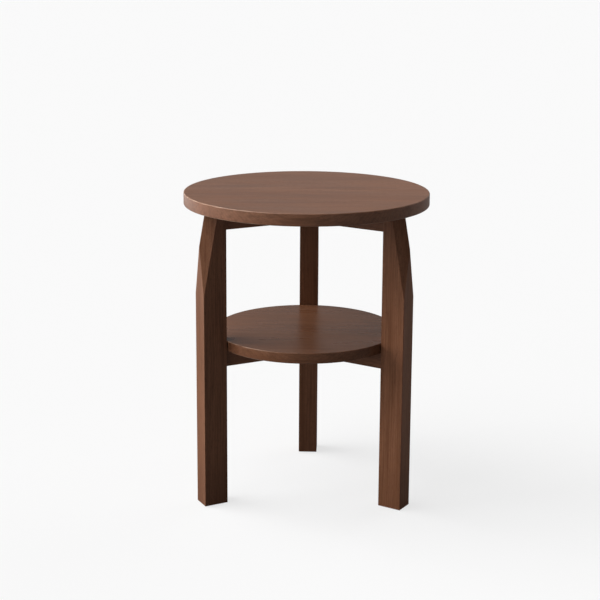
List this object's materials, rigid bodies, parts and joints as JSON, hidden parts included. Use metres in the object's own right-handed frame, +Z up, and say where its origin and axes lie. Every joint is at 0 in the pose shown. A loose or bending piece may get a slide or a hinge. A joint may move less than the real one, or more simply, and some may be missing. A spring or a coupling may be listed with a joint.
{
  "type": "end table with shelf",
  "caption": "Round dark-stained wooden end table on upright posts with faceted heads, with a smaller round shelf carried on a star of rails below the top.",
  "frame": {"origin": "on the floor, on the table's vertical axis, midway between the legs' glides", "axes": "+Z up along the table's axis; +Y from the front towards the leg at the back; +X to the right as seen from the front"},
  "size_m": [0.4499, 0.45, 0.57],
  "materials": {
    "top_wood": "satin brown stain",
    "shelf_wood": "satin brown stain",
    "leg_wood": "satin brown stain",
    "rail_wood": "satin brown stain",
    "dowel_wood": "bare beech",
    "screw_steel": "zinc plated",
    "nail_steel": "bright",
    "glide_nylon": "moulded"
  },
  "bodies": {
    "root": {"table_top": "top_wood", "shelf": "shelf_wood", "leg_back": "leg_wood", "leg_left": "leg_wood", "leg_right": "leg_wood", "upper_rail_back": "rail_wood", "upper_rail_left": "rail_wood", "upper_rail_right": "rail_wood", "upper_dowels_back": "dowel_wood", "upper_dowels_left": "dowel_wood", "upper_dowels_right": "dowel_wood", "upper_mitre_dowels": "dowel_wood", "lower_rail_back": "rail_wood", "lower_rail_left": "rail_wood", "lower_rail_right": "rail_wood", "lower_dowels_back": "dowel_wood", "lower_dowels_left": "dowel_wood", "lower_dowels_right": "dowel_wood", "lower_mitre_dowels": "dowel_wood", "top_screws": "screw_steel", "shelf_screws": "screw_steel", "glide_back": "glide_nylon", "glide_left": "glide_nylon", "glide_right": "glide_nylon", "glide_nails": "nail_steel"}
  },
  "joints": []
}
